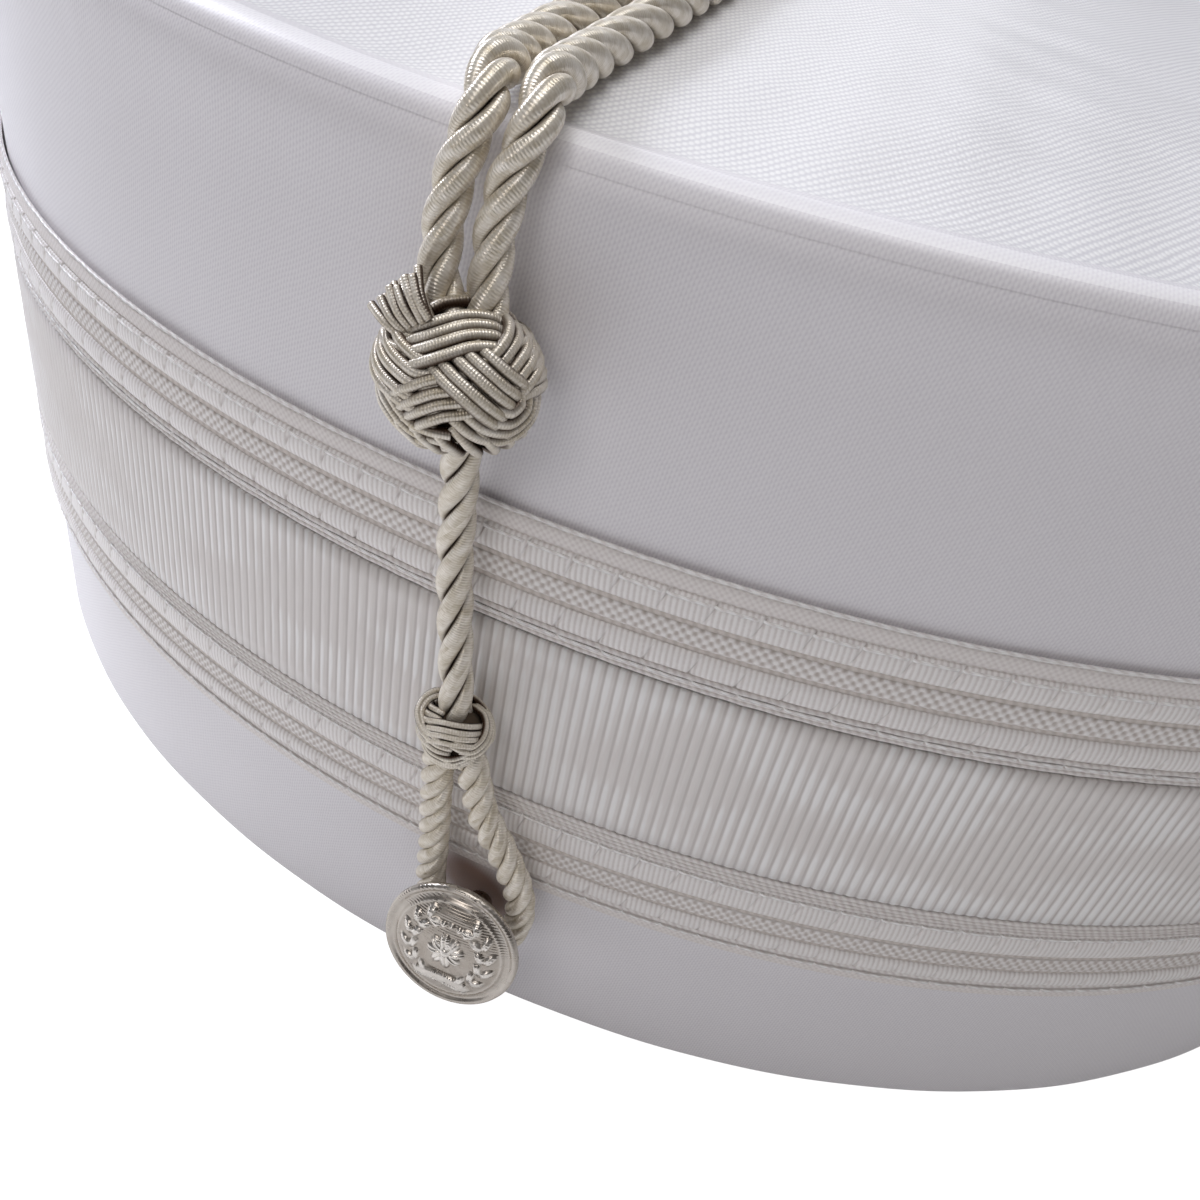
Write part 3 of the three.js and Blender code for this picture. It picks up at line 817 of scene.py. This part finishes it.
# ---- Drop cords ------------
# The single cord from the large knot down to the small one on each side, of the same laid-up strands.
DROP_ROUTE = (
    (-7.6, 5.8, 76.4), (-7.6, 5.6, 74.2), (-7.9, 4.5, 68.6), (-7.8, 4.1, 62.6), (-7.0, 4.2, 55.6), (-5.9, 4.9, 48.9),
    (-5.5, 5.1, 46.0),
)  # fmt: skip

for end, side in (("front", -1), ("back", 1)):
    strands = lay_up(smooth_route(on_wall(DROP_ROUTE, side), 0.25), 3.1, 12.5, 0.8)
    drop_cord = wound_tubes(f"silver_drop_cord_{end}", strands, STRAND_SIDES, -0.55, 0.25)
    drop_cord.data.materials.append(gimp)
    finish(drop_cord, f"drop_cord_{end}", slot="cord")


# ---- Small knots ------------
# The small woven knot above each button: bands of three or four thin gimp cords, woven round the drop
# cord's end and drawn tight over the ends of the button loop.
SMALL_BANDS = (
    (4, (0.1, 0.9, 1.1, 1.1, 1, 0.3), ((-49, 12), (-28, 26), (-6, 35), (20, 37), (46, 34), (71, 26))),
    (3, (0.2, 0.9, 1, 1, 0.8, 0.1), ((-100, 30), (-78, 11), (-27, 14), (1, 10), (17, 7))),
    (3, (0.2, 0.9, 1, 1, 0.8, 0.1), ((151, 50), (110, 33), (78, 16), (53, 5), (31, 3))),
    (3, (0.0, 0.8, 0.9, 0.2), ((3, 35), (29, 25), (53, 14))),
    (4, (0.1, 0.9, 0.9, 0.2), ((-60, -10), (-20, -22), (20, -24), (60, -10))),
    (3, (0.1, 0.8, 0.8, 0.2), ((-40, -34), (-5, -20), (30, -36), (60, -48))),
)
# One turn of two cords stands free as a ring at the upper left, where the drop cord goes in.
RING = (
    (0.16, -2.44, 0.78), (-1.16, -2.57, 0.84), (-2.48, -2.0, 1.28), (-3.19, -1.13, 1.91), (-3.1, -0.07, 2.55),
    (-2.49, 0.85, 2.71), (-1.84, 1.48, 2.02),
)  # fmt: skip
RING_MIDDLE = np.array((-1.5, -1.0, 1.8))
SMALL_AT, SMALL_SIZE = (-5.4, 5.1, 44.7), (7.3, 7.0, 7.2)
for end, side in (("front", -1), ("back", 1)):
    middle = on_wall([SMALL_AT], side)[0]
    tubes = []
    for turned in (0.0, 180.0):
        tubes += weave_ball(middle, SMALL_SIZE, side, SMALL_BANDS, 0.60, turned)
    for size in (0.88, 1.12):
        ring = smooth_route(RING_MIDDLE * (1 - size) + np.array(RING) * size, 0.2) * (-side, -side, 1.0)
        tubes.append((middle + ring, (-0.15 * side, 0.6 * side, 0.75), 0.3, 0.3))
    small_knot = wound_tubes(f"silver_small_knot_{end}", tubes, 8)
    small_knot.data.materials.append(gimp)
    add_core(small_knot, middle, (2.7, 2.6, 2.7))
    finish(small_knot, f"small_knot_{end}", slot="cord")


# ---- Button loops ------------
# The loop of cord that hangs from each small knot and goes round the button's shank: the same three
# strands, laid up tighter. Both its ends are caught in the knot.
LOOP_ROUTE = (
    (-6.6, 4.9, 42.7), (-6.9, 4.7, 40.5), (-6.9, 4.3, 33.6), (-6.7, 4.0, 26.8), (-6.6, 3.7, 20.0), (-5.5, 3.5, 14.8),
    (-1.9, 3.4, 12.7), (1.7, 3.5, 14.6), (3.4, 3.6, 19.1), (3.1, 4.0, 24.4), (1.0, 4.3, 29.6), (-1.8, 4.5, 34.7),
    (-3.4, 4.8, 40.5), (-4.2, 4.9, 42.7),
)  # fmt: skip
for end, side in (("front", -1), ("back", 1)):
    strands = lay_up(smooth_route(on_wall(LOOP_ROUTE, side), 0.25), 3.1, 7.8, 0.2)
    button_loop = wound_tubes(f"silver_button_loop_{end}", strands, STRAND_SIDES, -0.75, 0.0)
    button_loop.data.materials.append(gimp)
    finish(button_loop, f"button_loop_{end}", slot="cord")


# ---- Buttons ------------
# The domed metal button at each side: silver-plated brass, die-struck with a rosette between two
# laurel sprays over a plain scroll, with a turned-over rim and a post shank on its back.
BUTTON_AT, BUTTON_TILT, FACETS = (-1.7, 8.8, 18.2), math.radians(12), 192
face_rows = np.concatenate([np.linspace(0, 6.2, 52), [6.32, 6.45, 6.6, 6.75, 6.9, 7.05, 7.18, 7.28, 7.3]])
dome_r = [0, 2.48, 4.53, 6.2, 6.45, 6.65, 6.95, 7.2, 7.3]
dome_h = [1.1, 0.95, 0.55, -0.2, -0.28, -0.15, 0.0, -0.12, -0.4]
back_r = [7.3, 7.1, 6.4, 5.0, 1.45, 1.4, 1.4, 1.2, 0.0]
back_h = [-0.7, -1.0, -1.35, -1.5, -1.5, -1.7, -7.9, -8.1, -8.1]
button_r, button_h = np.concatenate([face_rows, back_r]), np.concatenate([np.interp(face_rows, dome_r, dome_h), back_h])
leaves = []
for hand in (-1, 1):
    for i in range(6):
        along = math.radians(-66 + 23 * i)
        stem_x, stem_y = hand * 4.1 * math.cos(along), 0.1 + 4.1 * math.sin(along)
        growing = math.atan2(math.cos(along), -hand * math.sin(along))
        for lean in (-0.66, 0.66):
            leaves.append((stem_x, stem_y, growing + lean, 1.75, 0.42))
for i in range(8):
    leaves.append((0.0, 0.35, i * math.pi / 4 + 0.2, 2.1, 0.62))
berries = [(3.1 * math.cos(a), 0.35 + 3.1 * math.sin(a), 0.30) for a in np.radians((58, 74, 90, 106, 122))]
berries.insert(0, (0.0, 0.35, 0.62))


def struck_relief(x, y):
    """How far the die-struck design stands above the dome, in mm."""
    height = 0.12 * np.exp(-(((np.hypot(x, y) - 5.72) / 0.12) ** 2))
    for lx, ly, heading, length, wide in leaves:
        s = (x - lx) * math.cos(heading) + (y - ly) * math.sin(heading) - length / 2
        t = -(x - lx) * math.sin(heading) + (y - ly) * math.cos(heading)
        body = np.maximum(1 - (2 * s / length) ** 2 - (t / wide) ** 2, 0)
        height = np.maximum(height, 0.40 * body**0.6 - 0.14 * np.exp(-((t / 0.1) ** 2)) * (body > 0.15))
    for bx, by, size in berries:
        ball = np.sqrt(np.maximum(1 - ((x - bx) ** 2 + (y - by) ** 2) / size**2, 0))
        height = np.maximum(height, (0.2 + 0.5 * size) * ball)
    curl = y + 3.35 + 0.07 * x**2
    scroll = (np.abs(curl) < 0.62) & (np.abs(x) < 2.9)
    return np.where(scroll, 0.22 + 0.14 * (np.abs(curl) > 0.45), height)


# Silver-plated brass, struck and then lightly tarnished: a soft mirror, bright on the raised parts and
# browner on the ground, which is ruled with fine level lines 0.28 mm apart above.
silver, shader = new_material("silver_plated_brass", Metallic=1.0, Roughness=0.24)
raised = add_node(silver, "SeparateXYZ", add_node(silver, "UVMap", uv_map="cloth"))
up_face = raised.node.outputs[1]
lines = add_node(silver, "Math", up_face, 2 * math.pi / 0.28, operation="MULTIPLY")
lines = add_node(silver, "Math", lines, operation="SINE")
upper = add_node(silver, "MapRange", up_face, 0.0, 0.6, 0.0, 1.0)
lines = add_node(silver, "Math", lines, upper, operation="MULTIPLY")
wear = add_node(silver, "TexNoise", add_node(silver, "TexCoord", out=3), sockets={"Scale": 800.0, "Detail": 4.0})
tone = add_node(silver, "Math", wear, 0.5, operation="MULTIPLY")
tone = add_node(silver, "Math", raised, 2.6, tone, operation="MULTIPLY_ADD")
colour = {0: tone, 6: linear("#a0968a"), 7: linear("#ebe6de")}
colour = add_node(silver, "Mix", sockets=colour, out=2, data_type="RGBA")
gloss = add_node(silver, "MapRange", wear, 0.3, 0.7, 0.22, 0.34)
bump = add_node(silver, "Bump", sockets={"Strength": 0.6, "Distance": 0.012 * MM, "Height": lines})
feed(shader, Base_Color=colour, Roughness=gloss, Normal=bump)

for end, side in (("front", -1), ("back", 1)):
    middle = on_wall([BUTTON_AT], side)[0]
    facing = np.array((0, side * math.cos(BUTTON_TILT), math.sin(BUTTON_TILT)))
    rightward = np.array((-side, 0, 0), float)
    upward = np.cross(facing, rightward)

    def place_button(column, row):
        angle, radius, on_face = 2 * math.pi * column / FACETS, button_r[row], row < len(face_rows)
        x, y = radius * np.cos(angle), radius * np.sin(angle)
        struck = np.where(on_face & (radius < 6.1), struck_relief(x, y), 0)
        height = button_h[row] + struck
        points = middle + x[:, None] * rightward + y[:, None] * upward + height[:, None] * facing
        # The cloth layer here holds the height of the relief, for the tarnish, and the height on the face.
        return points, np.stack([np.where(radius > 6.0, 0.07, struck), np.where(on_face, y, -9)], 1)

    button = lay_cloth(f"silver_plated_button_{end}", FACETS, len(button_r) - 1, place_button)
    button.data.materials.append(silver)
    finish(button, f"button_{end}", slot="button_metal")
